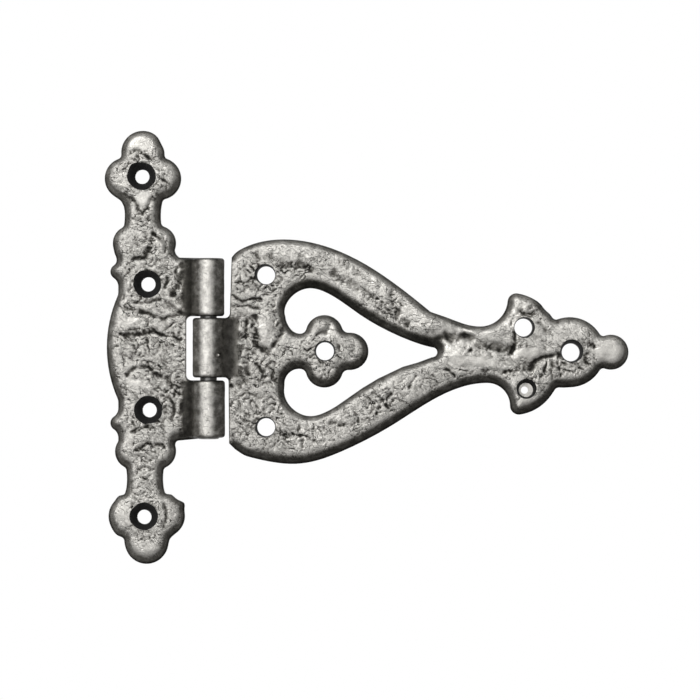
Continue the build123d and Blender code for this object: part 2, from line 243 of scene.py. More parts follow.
def cut_sheet(x, z, depth):
    """Triangles that cover a grid where depth is positive, trimmed along its zero line.

    Grid points near the line are first moved onto it; each triangle is then kept, clipped or dropped by the
    signs of its corners."""
    px, pz = (grid.ravel() for grid in np.meshgrid(x, z, indexing="ij"))
    slope_x, slope_z = (slope.ravel() for slope in np.gradient(depth, grid_step))
    d = depth.ravel().copy()
    near = np.abs(d) < 0.4 * grid_step
    steep = np.maximum(slope_x ** 2 + slope_z ** 2, 0.25)
    px, pz = px - near * d * slope_x / steep, pz - near * d * slope_z / steep
    d[near] = 0
    ids = np.arange(len(d)).reshape(depth.shape)
    a, b, c, e = ids[:-1, :-1].ravel(), ids[1:, :-1].ravel(), ids[1:, 1:].ravel(), ids[:-1, 1:].ravel()
    flip = (np.add(*np.indices((len(x) - 1, len(z) - 1))) % 2).ravel() == 1
    first = np.where(flip[:, None], np.stack([a, b, e], 1), np.stack([a, b, c], 1))
    second = np.where(flip[:, None], np.stack([b, c, e], 1), np.stack([a, c, e], 1))
    triangles = np.concatenate([first, second])
    sign = np.sign(d[triangles]).astype(int)
    triangles, sign = triangles[(sign == 1).any(axis=1)], sign[(sign == 1).any(axis=1)]
    whole = triangles[(sign >= 0).all(axis=1)]
    mixed, sign = triangles[(sign < 0).any(axis=1)], sign[(sign < 0).any(axis=1)]
    size = len(d)
    sides = np.sort(np.concatenate([mixed[:, [0, 1]], mixed[:, [1, 2]], mixed[:, [2, 0]]]), axis=1)
    keys = np.unique(sides[d[sides[:, 0]] * d[sides[:, 1]] < 0] @ [size, 1])
    low, high = keys // size, keys % size
    share = d[low] / (d[low] - d[high])
    px = np.concatenate([px, px[low] + share * (px[high] - px[low])])
    pz = np.concatenate([pz, pz[low] + share * (pz[high] - pz[low])])

    def crossing(one, other):
        return size + np.searchsorted(keys, np.minimum(one, other) * size + np.maximum(one, other))

    pieces = [whole]
    for turn in range(3):
        p, q, r = (np.roll(mixed, -turn, axis=1)[:, k] for k in range(3))
        sp, sq, sr = (np.roll(sign, -turn, axis=1)[:, k] for k in range(3))
        one = (sp > 0) & (sq < 0) & (sr < 0)
        pieces.append(np.stack([p, crossing(p, q), crossing(p, r)], 1)[one])
        two = (sp < 0) & (sq > 0) & (sr > 0)
        pieces.append(np.stack([crossing(p, q), q, r], 1)[two])
        pieces.append(np.stack([crossing(p, q), r, crossing(p, r)], 1)[two])
        left = (sp > 0) & (sq < 0) & (sr == 0)
        pieces.append(np.stack([p, crossing(p, q), r], 1)[left])
        right = (sp > 0) & (sq == 0) & (sr < 0)
        pieces.append(np.stack([p, q, crossing(p, r)], 1)[right])
    triangles = np.concatenate(pieces)
    used, triangles = np.unique(triangles, return_inverse=True)
    return px[used], pz[used], triangles.reshape(-1, 3)


def closed_leaf(name, x, z, triangles, front, back):
    """A closed shell: the sheet at depth front, again at depth back and turned over, and a wall along its edge."""
    count = len(x)
    edges = np.concatenate([triangles[:, [0, 1]], triangles[:, [1, 2]], triangles[:, [2, 0]]])
    keys = edges @ [count, 1]
    rim = edges[~np.isin(keys, edges[:, ::-1] @ [count, 1])]
    points = np.concatenate([np.stack([x, -front, z], 1), np.stack([x, -back, z], 1)]) / per_metre
    wall = np.stack([rim[:, 1], rim[:, 0], rim[:, 0] + count, rim[:, 1] + count], 1)
    faces = triangles.tolist() + (triangles[:, ::-1] + count).tolist() + wall.tolist()
    mesh = bpy.data.meshes.new(name)
    mesh.from_pydata(points, [], faces)
    return mesh


def softened(field, times):
    """A grid averaged with its four neighbours, so many times over."""
    for _ in range(times):
        padded = np.pad(field, 1, mode="edge")
        field = (padded[:-2, 1:-1] + padded[2:, 1:-1] + padded[1:-1, :-2] + padded[1:-1, 2:] + 2 * field) / 6
    return field


def beside(z, eyes):
    """1 at heights that lie beside an eye, 0 elsewhere."""
    return sum(fade(z, low - 0.3, low + 0.5) * fade(-z, -high - 0.3, -high + 0.5) for low, high in eyes)


def facing(depth):
    """How far the rim faces left and down: the slopes of the softened depth, to the right and up."""
    return np.gradient(softened(depth, 8), grid_step)


def rim_across(depth, x):
    """How wide the sloping rim is: wide where it faces down, narrow where it faces up and round a long tip."""
    tip_start, tip_end = 110.5, 114.5
    return (2.1 + 0.7 * np.clip(facing(depth)[1], -1, 1)) * (1 - 0.2 * fade(x - pin_x, tip_start, tip_end))


def face(x, z, depth, across, side, eyes, smooth_to, seed, marks, patches):
    """Height of a leaf's front, the share of it that is rough, and the shares that are rim and barrel's flank.

    Full thickness, less a rim that slopes down over its width, plus the hollow that runs up to the barrel, plus
    wrinkles and marks where it is rough. The side is 1 for a leaf to the right of the pin, -1 to the left."""
    out = side * (x - pin_x)
    near_eye = beside(z, eyes)
    past_barrel = fade(out, 4.5, 7.5)
    past_flank = fade(out, smooth_to - 1.6, smooth_to + 0.4)
    rough = (1 - near_eye * (1 - past_flank)) * fade(depth, 0.1 * across, 1.15 * across)
    slope = rim_drop * (1 - depth / across)
    drop = 0.5 * (slope + np.sqrt(slope ** 2 + rim_softness ** 2)) * past_barrel
    foot = np.clip(out, crease_start, crease_foot)
    rise = (crease_radius - np.sqrt(crease_radius ** 2 - (crease_foot - foot) ** 2)) * near_eye
    smooth = even(x, z, patches)
    height = leaf_depth - drop + rise + rough * (smooth * wrinkles(x, z, seed) + strokes(x, z, marks))
    ragged = out + 1.5 * ripple(x, z, 2.6, seed + 12) + 0.6 * ripple(x, z, 1.1, seed + 13)
    flank = near_eye * (1 - fade(ragged, smooth_to - 0.9, smooth_to + 0.3))
    return height, rough * smooth, past_barrel * (1 - fade(depth, across * 0.55, across * 1.2)), flank


def wiped_and_shaded(height, rim, flank, flank_shade_tone, rim_shading, depth, edge, x, z, stains):
    """How bright the surface is, 0 to 1, with painted light and shade in it.

    Bright where the casting stands proud of its surroundings at three scales, and dark with patina in its creases.
    Slopes are darker, partly patina and partly painted shade. The rim is nearly untouched, painted lighter where it
    faces left and darker where it faces down. The hollow beside the barrel and the edge are painted dark as shade,
    darkest along the edge, and the rubbing is uneven."""
    slope = np.hypot(*np.gradient(height + 0.8 * rim, grid_step))
    tone = 0.79
    scales = (6, 3.4, -0.46, 0.12), (34, 0.8, -0.28, 0.08), (150, 0.6, -0.28, 0.12)
    for times, gain, darkest, brightest in scales:
        tone = tone + np.clip(gain * (height - softened(height, times)), darkest, brightest)
    # Slopes darker: partly patina, partly painted shade.
    tone = tone - 0.22 * fade(slope, 0.3, 1.0)
    plain, lit_to_left, shaded_below = rim_shading
    looks_left, looks_down = facing(depth)
    streaks = 0.10 * ripple(3.0 * depth, x + z, 2.4, 81) + 0.08 * ripple(x, z, 2.6, 82)
    # Painted light and shade on the rim: lighter where it faces left, towards the lamp, darker where it faces down.
    rim_tone = plain + lit_to_left * looks_left - shaded_below * looks_down + streaks
    # Painted shade on the rim near the edge.
    rim_tone = rim_tone - 0.08 * np.exp(-(np.maximum(depth, 0) / 0.6) ** 2)
    tone = tone * (1 - rim) + rim_tone * rim
    # Painted shade in the hollow beside the barrel.
    barrel_flank_shade = flank_shade_tone + 0.13 * ripple(x, z, 1.8, 83) + 0.08 * ripple(x, z, 0.8, 84)
    tone = tone * (1 - flank) + barrel_flank_shade * flank + strokes(x, z, stains)
    # Painted shade along the edge, darkest at it.
    return np.clip(tone - 0.40 * np.exp(-(np.maximum(edge, 0) / 0.40) ** 2), 0.02, 0.93)


def back_depth(x, z, seed):
    """How far a leaf's back is from the wall: nearly flat, rippled by its sand, even beside the barrel."""
    clear_of_wall = 0.14
    sand = 0.035 * ripple(x, z, 1.1, seed) + 0.07 * ripple(x, z, 4.0, seed + 2)
    return clear_of_wall + sand * fade(np.abs(x - pin_x), 2.0, 6.0)


def placed(name, data):
    """A new object in the scene."""
    obj = bpy.data.objects.new(name, data)
    bpy.context.scene.collection.objects.link(obj)
    return obj


def cast_leaf(name, packed, holes, pushes, mould, shade_tones, stains, back_seed, rim_from):
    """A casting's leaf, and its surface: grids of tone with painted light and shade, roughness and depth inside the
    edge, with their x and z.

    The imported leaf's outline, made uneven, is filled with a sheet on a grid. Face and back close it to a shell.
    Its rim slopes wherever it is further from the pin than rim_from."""
    outside = -0.4
    starts, ends = pushed(back_edge(packed, holes), pushes)
    x = np.arange(starts[:, 0].min() - 1, starts[:, 0].max() + 1, grid_step)
    z = np.arange(starts[:, 1].min() - 1, starts[:, 1].max() + 1, grid_step)
    side = mould[0]
    edge, from_rim = depth_inside(starts, ends, side * (starts[:, 0] - pin_x) > rim_from, x, z)
    leaf_x, leaf_z, triangles = cut_sheet(x, z, edge)
    grid_x, grid_z = np.meshgrid(x, z, indexing="ij")
    across = rim_across(from_rim, grid_x)
    leaf_in = np.maximum(blend_at(from_rim, x, z, leaf_x, leaf_z), 0)
    front = face(leaf_x, leaf_z, leaf_in, blend_at(across, x, z, leaf_x, leaf_z), *mould)[0]
    height, rough, rim, flank = face(grid_x, grid_z, np.maximum(from_rim, outside), across, *mould)
    tone = wiped_and_shaded(height, rim, flank, *shade_tones, from_rim, edge, grid_x, grid_z, stains)
    mesh = closed_leaf(name, leaf_x, leaf_z, triangles, front, back_depth(leaf_x, leaf_z, back_seed))
    return placed(name, mesh), (tone, rough, edge, x, z)


def skinned(name, points, steps):
    """A mesh of quads over rings of points, with a flat face over each end."""
    here = np.arange(steps)
    there = (here + 1) % steps
    last = len(points) - steps
    level = np.arange(0, last, steps)[:, None]
    sides = np.stack([level + here, level + there, level + there + steps, level + here + steps], 2).reshape(-1, 4)
    mesh = bpy.data.meshes.new(name)
    mesh.from_pydata(points, [], sides.tolist() + [here[::-1].tolist(), (here + last).tolist()])
    return mesh


def turned(name, along, radius, worn=0.0, seed=0, wide=1.0, steps=96):
    """A closed turned shape on the pin's axis: radii at heights, carried round in steps.

    It is dented inwards by up to worn, as a ripple of its unrolled face, and is that much wider than deep."""
    turn = np.linspace(0, 2 * np.pi, steps, endpoint=False)
    along, radius = np.asarray(along, float)[:, None], np.asarray(radius, float)[:, None]
    unrolled = knuckle_radius * np.cos(turn) + 5.9 * np.sin(turn)
    dent = 0.6 * ripple(unrolled, along, 3.2, seed) + 0.4 * ripple(unrolled, along, 1.3, seed + 1)
    bent = radius - worn * (0.5 + 0.5 * np.clip(dent, -1, 1))
    ring_x, ring_y = pin_x + wide * bent * np.cos(turn), pin_y + bent * np.sin(turn)
    points = np.stack([ring_x, ring_y, along + 0 * bent], 2).reshape(-1, 3) / per_metre
    return skinned(name, points, steps)


def knuckle(bottom, top, seed, wide):
    """One eye of the barrel, dented by its mould, with its ends rounded over in a quarter circle."""
    worn, rings = 0.10, 40
    edge = np.linspace(0, np.pi / 2, 6)
    end_along = bottom + knuckle_rounding * (1 - np.cos(edge))
    end_radius = knuckle_radius - knuckle_rounding * (1 - np.sin(edge))
    run = np.linspace(end_along[-1], bottom + top - end_along[-1], rings)[1:-1]
    along = np.concatenate([end_along, run, bottom + top - end_along[::-1]])
    radius = np.concatenate([end_radius, 0 * run + knuckle_radius, end_radius[::-1]])
    return turned(f"eye_{seed}", along, radius, worn, seed, wide)


def drill(name, x, z, depths, radius, lean=(0.0, 0.0), steps=72):
    """A closed cutter on an axis through the leaf: radii at depths from the back, carried round in steps.

    Its middle wanders with the square of the depth, to lean at the last."""
    turn = np.linspace(0, 2 * np.pi, steps, endpoint=False)
    depths, radius = np.asarray(depths, float)[:, None], np.asarray(radius, float)[:, None]
    share = np.linspace(0, 1, len(depths))[:, None] ** 2
    ring_x = x + lean[0] * share + radius * np.cos(turn)
    ring_z = z + lean[1] * share + radius * np.sin(turn)
    points = np.stack([ring_x, -depths + 0 * ring_x, ring_z], 2).reshape(-1, 3) / per_metre
    return skinned(name, points, steps)


def joined(obj, meshes, operation):
    """Gives obj the mesh it has after each of the meshes is added to it or cut from it."""
    for mesh in meshes:
        tool = placed("tool", mesh)
        step = obj.modifiers.new("step", "BOOLEAN")
        step.operation, step.solver, step.object = operation, "MANIFOLD", tool
        bpy.context.view_layer.update()
        done = bpy.data.meshes.new_from_object(obj.evaluated_get(bpy.context.evaluated_depsgraph_get()))
        obj.modifiers.clear()
        obj.data = done
        bpy.data.objects.remove(tool)


# The side of the pin, the eyes, how far out the flank beside them is smooth, a seed, the marks and the patches.
frame_mould = -1, frame_eyes, 8.2, 11, frame_marks, frame_patches
# How bright the painted shade in that flank is, and the rim: plain, painted lighter where it faces left by, and
# painted darker where it faces down by.
frame_shade_tones = 0.20, (0.52, 0.03, 0.08)
plate, frame_finish_and_shade = cast_leaf("frame_casting", "frame_plate", frame_holes, frame_pushes, frame_mould,
                                frame_shade_tones, frame_stains_and_shade, back_seed=40, rim_from=7.0)
widths = [1.05, 1.01]
joined(plate, [knuckle(*ends, n, wide) for n, (ends, wide) in enumerate(zip(frame_eyes, widths))], "UNION")
bore = turned("bore", [-30, 30], [2.45, 2.45])
countersink_depths, countersink_radii = [-0.2, 1.95, 4.6], [2.1, 2.1, 4.75]
wander = [(-0.1, 0.0), (0.3, 0.0), (-0.3, 0.1), (0.3, 0.1)]
leans = [(-0.1, 0.2), (-0.3, 0.2), (-0.2, 0.2), (-0.2, 0.2)]
cutters = [drill("countersink", x + by[0], z + by[1], countersink_depths, countersink_radii, lean)
           for (x, z), by, lean in zip(frame_holes, wander, leans)]
joined(plate, [bore] + cutters, "DIFFERENCE")
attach(plate, "frame_leaf")
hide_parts("frame_plate")


def set_finish_and_shade(obj, tone, rough, depth, x, z, eyes, floors):
    """Stores two numbers on the mesh: finish, how bright with its painted light and shade, and skin, how rough.

    The front takes them by place from its grids. The back is dull, and worn bright along its edge. The barrel has a
    painted highlight along its front, partly wear, with painted shade on its flanks and at its ends. Each floor of
    a hollow, given by x, z, its reach and the y that it lies in front of, is painted bright as if lit, in a ring of
    painted shade."""
    back_skin, barrel_skin, floor_light, out_of_reach = 0.15, 0.22, 0.95, 9
    mesh = obj.data
    points = np.empty(len(mesh.vertices) * 3)
    mesh.vertices.foreach_get("co", points)
    px, py, pz = points.reshape(-1, 3).T * per_metre
    on_front = fade(-py, 1.6, 2.0)
    worn_edge = np.exp(-(blend_at(depth, x, z, px, pz) / 0.7) ** 2) * (0.6 + 0.8 * ripple(px, pz, 3.0, 93))
    behind = 0.47 + 0.06 * ripple(px, pz, 2.0, 91) + 0.12 * ripple(px, pz, 9.0, 94)
    behind = behind + 0.25 * worn_edge * fade(py, -0.9, -0.1)
    finish = behind * (1 - on_front) + on_front * blend_at(tone, x, z, px, pz)
    skin = back_skin * (1 - on_front) + on_front * blend_at(rough, x, z, px, pz)

    away = np.hypot(px - pin_x, py - pin_y)
    turn = np.arctan2(px - pin_x, -(py - pin_y))
    eye = fade(-away, -knuckle_radius - 0.35, -knuckle_radius - 0.15)
    # Painted highlight down the barrel's front, partly wear, and painted shade on its flanks.
    shaded_flank = fade(np.abs(turn), 0.85, 1.3) * fade(-np.abs(turn), -2.6, -1.8)
    rubbed_and_highlit = 0.56 + 0.37 * fade(-np.abs(turn + 0.08), -0.66, -0.28) - 0.14 * shaded_flank
    rubbed_and_highlit = rubbed_and_highlit + 0.16 * ripple(px, pz, 2.2, 92) + 0.12 * ripple(px, pz, 0.9, 95)
    from_floors = [np.hypot(px - floor_x, pz - floor_z) + out_of_reach * (py > front)
                   for floor_x, floor_z, _, front in floors]
    # Painted shade in a ring round each hollow's floor.
    for from_floor in from_floors:
        rubbed_and_highlit = rubbed_and_highlit - 0.5 * np.exp(-(from_floor / 0.7) ** 2)
    from_end = np.abs(pz[:, None] - np.ravel(eyes)).min(axis=1)
    rubbed_and_highlit = rubbed_and_highlit * fade(away, knuckle_radius - 0.75, knuckle_radius - 0.2)
    # Painted shade on the rounded ends of each eye.
    rubbed_and_highlit = rubbed_and_highlit - 0.30 * np.exp(-(from_end / 0.7) ** 2)
    finish = finish * (1 - eye) + rubbed_and_highlit * eye
    # Each hollow's floor is painted bright, as if lit.
    for from_floor, (_, _, reach, _) in zip(from_floors, floors):
        finish[from_floor < reach] = floor_light
    skin = skin * (1 - eye) + barrel_skin * eye
    for name, value in ("finish", finish), ("skin", skin):
        values = np.clip(value, 0, 1).astype(np.float32)
        mesh.attributes.new(name, "FLOAT", "POINT").data.foreach_set("value", values)


def mark_pockets(obj, holes, radius):
    """Gives the walls of the screw holes the second material, by how near their middles are to a hole's axis."""
    wall_tilt, behind = 0.75, -0.82
    mesh = obj.data
    middles, normals = np.empty(len(mesh.polygons) * 3), np.empty(len(mesh.polygons) * 3)
    mesh.polygons.foreach_get("center", middles)
    mesh.polygons.foreach_get("normal", normals)
    px, py, pz = middles.reshape(-1, 3).T * per_metre
    wall = (np.abs(normals[1::3]) < wall_tilt) & (py < behind)
    inner = np.zeros(len(px), bool)
    for hole_x, hole_z in holes:
        inner |= (np.hypot(px - hole_x, pz - hole_z) < radius) & wall
    mesh.polygons.foreach_set("material_index", inner.astype(np.int32))


def shader(name):
    """A new material with its node tree and its one surface shader."""
    material = bpy.data.materials.new(name)
    material.use_nodes = True
    return material, material.node_tree, material.node_tree.nodes["Principled BSDF"]


def node(tree, kind, **sockets):
    """A new node with some of its sockets set or linked, by name or, for a maths node, as in_0, in_1, in_2."""
    made = tree.nodes.new(kind)
    for key, value in sockets.items():
        if hasattr(made, key):
            setattr(made, key, value)
            continue
        socket = made.inputs[int(key[3:])] if key.startswith("in_") else made.inputs[key.replace("_", " ")]
        if isinstance(value, bpy.types.NodeSocket):
            tree.links.new(value, socket)
        else:
            socket.default_value = value
    return made


def maths(tree, operation, *values, clamp=False):
    """The result of one sum on numbers or sockets."""
    return node(tree, "ShaderNodeMath", operation=operation, use_clamp=clamp,
                **{f"in_{n}": value for n, value in enumerate(values)}).outputs[0]


def noise(tree, place, scale, detail, roughness=0.5):
    """A cloudy pattern's outputs, at so many cells to the metre."""
    return node(tree, "ShaderNodeTexNoise", Vector=place, Scale=scale, Detail=detail, Roughness=roughness).outputs


def ranged(tree, value, start, end, to_start, to_end):
    """A smooth step: to_start where the value is at start, to_end where it is at end."""
    return node(tree, "ShaderNodeMapRange", interpolation_type="SMOOTHSTEP", Value=value, From_Min=start,
                From_Max=end, To_Min=to_start, To_Max=to_end).outputs[0]


def ramp(tree, value, *colours):
    """The colour at a value, from colours given as (value, red, green, blue)."""
    made = node(tree, "ShaderNodeValToRGB", Fac=value)
    elements = made.color_ramp.elements
    elements[0].color, elements[1].color = (*colours[0][1:], 1), (*colours[-1][1:], 1)
    for at, *colour in colours[1:-1]:
        elements.new(at).color = (*colour, 1)
    return made.outputs["Color"]


# Pewter-coated iron: the stored tone with its painted light and shade, grain, cloudiness, and thin dark creases
# with painted highlights on their lips.
iron, tree, bsdf = shader("cast_iron")
finish = node(tree, "ShaderNodeAttribute", attribute_name="finish").outputs["Fac"]
skin = node(tree, "ShaderNodeAttribute", attribute_name="skin").outputs["Fac"]
place = node(tree, "ShaderNodeTexCoord").outputs["Object"]
shift = noise(tree, place, 700.0, 1.0)["Color"]
shifted = node(tree, "ShaderNodeVectorMath", operation="MULTIPLY_ADD", in_0=shift,
               in_1=(0.0012, 0.0012, 0.0012), in_2=place).outputs[0]
longer = node(tree, "ShaderNodeMapping", Vector=shifted, Scale=(560.0, 560.0, 900.0)).outputs[0]
from_line = maths(tree, "ABSOLUTE", maths(tree, "SUBTRACT", noise(tree, longer, 1.0, 0.0)["Fac"], 0.5))
creased = ranged(tree, noise(tree, place, 260.0, 1.0)["Fac"], 0.38, 0.54, 0.0, 1.0)
creased = maths(tree, "MULTIPLY", creased, skin)
line = maths(tree, "MULTIPLY", ranged(tree, from_line, 0.0, 0.036, 1.0, 0.0), creased)
lip_highlight = maths(tree, "MULTIPLY", ranged(tree, from_line, 0.028, 0.075, 1.0, 0.0), creased)
grain = noise(tree, place, 2000.0, 3.0, 0.75)["Fac"]
mottle = noise(tree, place, 420.0, 2.0)["Fac"]
grain_depth = maths(tree, "MULTIPLY_ADD", skin, 0.52, 0.34)
tone = maths(tree, "MULTIPLY_ADD", maths(tree, "SUBTRACT", grain, 0.5), grain_depth, finish)
tone = maths(tree, "MULTIPLY_ADD", maths(tree, "SUBTRACT", mottle, 0.5), 0.30, tone)
# Painted highlight along the lips of the creases.
tone = maths(tree, "MULTIPLY_ADD", lip_highlight, 0.12, tone)
tone = maths(tree, "MULTIPLY_ADD", line, -0.60, tone, clamp=True)
colour = ramp(tree, tone, (0.0, 0.015, 0.0138, 0.0112), (0.25, 0.060, 0.0565, 0.048), (0.55, 0.217, 0.207, 0.187),
              (0.8, 0.57, 0.553, 0.517), (1.0, 0.90, 0.875, 0.82))
tree.links.new(colour, bsdf.inputs["Base Color"])
bsdf.inputs["Metallic"].default_value = 0.7
gloss = node(tree, "ShaderNodeMapRange", Value=tone, To_Min=0.50, To_Max=0.32).outputs[0]
tree.links.new(gloss, bsdf.inputs["Roughness"])
raised = maths(tree, "MULTIPLY", grain, maths(tree, "MULTIPLY_ADD", skin, 1.0, 0.25))
relief = maths(tree, "MULTIPLY_ADD", line, -1.3, raised)
bump = node(tree, "ShaderNodeBump", Strength=1.0, Distance=0.00017, Height=relief)
tree.links.new(bump.outputs[0], bsdf.inputs["Normal"])

# The holes' walls, where the black undercoat was never rubbed.
pocket, tree, bsdf = shader("black_pocket")
grain = noise(tree, node(tree, "ShaderNodeTexCoord").outputs["Object"], 1300.0, 3.0)["Fac"]
colour = ramp(tree, grain, (0.0, 0.009, 0.009, 0.009), (1.0, 0.030, 0.029, 0.028))
tree.links.new(colour, bsdf.inputs["Base Color"])
bsdf.inputs["Roughness"].default_value = 0.7
bsdf.inputs["Specular IOR Level"].default_value = 0.15
bump = node(tree, "ShaderNodeBump", Strength=1.0, Distance=0.00005, Height=grain)
tree.links.new(bump.outputs[0], bsdf.inputs["Normal"])


def finished_and_shaded(casting, grids, eyes, floors, holes, hole_reach):
    """Gives a casting its stored tone with painted light and shade, smooth shading between sharp edges, and its two
    materials.
    """
    set_finish_and_shade(casting, *grids, eyes, floors)
    casting.data.shade_smooth()
    casting.data.set_sharp_from_angle(angle=np.radians(50))
    casting.data.materials.clear()
    for material in (iron, pocket):
        casting.data.materials.append(material)
    mark_pockets(casting, holes, hole_reach)


finished_and_shaded(plate, frame_finish_and_shade, frame_eyes, [], frame_holes, hole_reach=4.6)

# DOOR STRAP
# The long leaf that is screwed to the door, cast in the same way: a heart
# pierced round a trefoil, two ears, and a foil at the tip. Its holes came with
# the mould. Flash has nearly closed the lower ear's, and the eye has a pit.
strap_eyes = [(-8.75, 8.55)]
strap_z = -1.16
strap_holes = [(34.2, strap_z + 22.1), (34.2, strap_z - 22.1), (51.3, strap_z), (122.8, strap_z), (109.0, 5.74)]
flash_hole = (109.8, -12.4)
pit = (pin_x + 3.0, -2.2)
strap_pushes = [
    (23.1, 6.6, 0.5, 0.4, 3.0), (6.1, 26.7, 0.5, -0.3, 1.2), (101.8, -11.0, 0.05, -0.5, 2.0),
    (97.9, 11.2, -0.3, -0.3, 1.5), (6.0, 11.5, 0.8, 0.0, 1.4), (6.0, -28.1, 0.4, 0.3, 1.0),
    (60.8, -4.0, 0.1, -0.4, 3.0),
]
strap_marks = [
    ([(12.5, 27.2), (17.0, 26.6), (21.0, 24.6)], 1.2, -0.28),
    ([(21.5, 23.0), (25.5, 24.2), (30.0, 23.4)], 1.3, -0.3),
    ([(53.3, 16.3), (53.8, 13.0), (55.3, 9.9)], 0.8, -0.35), ([(34.0, 23.5), (46.0, 18.0)], 2.2, 0.18),
    ([(16.5, 9.0), (16.8, 2.0)], 2.4, 0.3),
    ([(36.0, 21.4), (45.0, 16.5), (52.0, 10.6), (58.0, 7.0)], 1.5, -0.34),
    ([(40.0, 24.5), (50.0, 18.5)], 1.2, -0.2),
    ([(13.2, 9.0), (13.6, 3.0), (14.6, 0.2), (17.5, -1.0)], 0.9, -0.46),
    ([(18.6, 0.2), (20.2, 2.4), (21.6, 5.4)], 0.9, -0.45),
    ([(14.0, -4.5), (15.8, -8.6), (19.3, -8.4)], 0.6, -0.35),
    ([(6.9, 15.2), (10.0, 13.6), (14.9, 14.2)], 0.55, -0.35),
    ([(6.9, 11.8), (10.5, 12.2), (14.0, 11.4)], 0.5, -0.3), ([(11.2, 8.0), (10.7, 3.0)], 0.8, -0.30),
    ([(10.6, -3.0), (11.6, -7.6)], 0.9, -0.30), ([(26.3, -23.0), (27.4, -28.8)], 0.45, -0.3),
    ([(24.5, -25.0), (27.5, -25.6), (30.5, -27.0)], 0.45, -0.28), ([(22.2, -25.4)], 0.7, -0.4),
    ([(47.7, -13.4), (50.5, -15.0), (53.4, -18.5)], 0.6, -0.35),
    ([(49.0, -19.0), (50.5, -15.0), (53.0, -13.6)], 0.5, -0.3),
    ([(36.0, -22.0), (41.0, -22.6), (46.5, -20.5)], 0.5, -0.25), ([(60.0, -8.5), (58.0, -11.5)], 0.5, -0.25),
    ([(65.0, 1.6), (69.0, 3.0), (73.0, 4.2)], 2.4, -0.5), ([(70.0, 2.4), (75.0, 3.6)], 1.6, -0.2),
    ([(75.0, 3.2), (77.5, 1.8), (80.5, 0.6), (84.0, -0.3), (88.4, -0.9)], 1.3, -0.5),
    ([(76.5, 6.0), (84.0, 4.2)], 1.6, 0.3), ([(89.0, 4.0), (88.8, 1.5), (88.4, -0.6)], 0.6, -0.45),
    ([(72.0, -2.5), (82.0, -4.5)], 2.2, 0.25), ([(69.5, -6.5), (71.5, -8.0)], 0.7, -0.35),
    ([(80.5, -6.9), (86.5, -7.0), (93.3, -6.0)], 0.9, -0.30),
    ([(93.3, -6.0), (95.2, -3.8), (97.2, -2.8), (102.0, -2.3)], 0.9, -0.5),
    ([(90.0, -1.8), (97.0, -0.6)], 1.8, 0.2), ([(90.6, 10.6), (92.2, 9.4), (95.0, 9.6)], 0.9, -0.45),
    ([(96.3, 6.9), (99.0, 4.2)], 1.0, -0.3), ([(96.6, -8.8), (98.2, -4.6)], 0.35, -0.28),
    ([(99.6, -9.0), (99.8, -4.4)], 0.35, -0.28), ([(102.4, -8.4), (101.2, -4.6)], 0.35, -0.28),
    ([(109.6, -2.4), (110.0, -4.6)], 0.7, -0.35), ([(111.0, 0.6), (112.2, 0.0)], 0.5, -0.35),
    ([(115.0, -1.2), (118.0, -1.2)], 2.6, 0.1), ([(6.8, -11.2)], 0.7, -0.8), ([(76.2, -0.9)], 0.55, -0.6),
    ([(31.5, 4.0), (33.8, 4.6), (35.4, 6.2)], 0.7, -0.35), ([(33.0, -9.0), (35.5, -12.0)], 0.8, -0.2),
]
# Places rubbed less (negative) or more; some dark ones are painted shade in hollows and on downward slopes, and
# some bright ones painted light.
strap_stains_and_shade = [
    ([(27.0, 19.3), (33.0, 18.2), (40.0, 14.2), (50.0, 8.6), (60.0, 4.0), (68.0, 1.4)], 1.7, -0.22),
    ([(62.0, 3.6), (68.0, 3.0), (74.0, 4.4)], 2.0, -0.24), ([(69.0, -0.4), (72.0, 0.6)], 1.6, -0.12),
    ([(28.0, 23.4), (34.0, 22.6), (38.0, 20.5)], 1.6, -0.16),
    ([(19.6, -7.5), (19.2, -13.5), (20.4, -17.0)], 1.6, -0.20), ([(15.5, 25.6), (13.0, 24.2)], 1.6, -0.12),
    ([(88.4, 4.0), (89.0, 0.5), (88.0, -1.0)], 1.4, -0.20), ([(93.0, -4.8), (99.5, -6.4)], 1.6, -0.18),
    ([(52.5, -16.5), (57.0, -14.0), (61.0, -12.0)], 1.2, -0.12), ([(115.6, 1.0), (119.0, -0.2)], 1.4, -0.10),
    ([(44.0, 20.8), (46.5, 18.6)], 1.0, -0.14), ([(50.0, 17.0), (55.0, 12.5)], 1.4, 0.16),
    ([(13.5, 16.5), (17.0, 15.0)], 1.6, 0.14), ([(9.0, -18.5), (13.0, -19.0)], 2.0, 0.14),
    ([(23.5, 27.2), (27.5, 27.4)], 1.2, 0.14), ([(27.5, -28.2), (34.0, -27.0)], 1.6, 0.14),
    ([(41.5, -22.0), (44.5, -18.8)], 1.6, 0.16), ([(58.5, -9.8), (65.0, -7.0)], 1.2, 0.18),
    ([(91.0, -3.2), (97.0, -2.4)], 1.4, 0.18), ([(98.0, 3.8), (100.5, 0.5)], 1.8, 0.14),
    ([(109.5, 3.6), (112.5, 0.8)], 1.4, 0.14), ([(62.5, 9.0), (66.0, 8.0)], 1.2, 0.14),
]
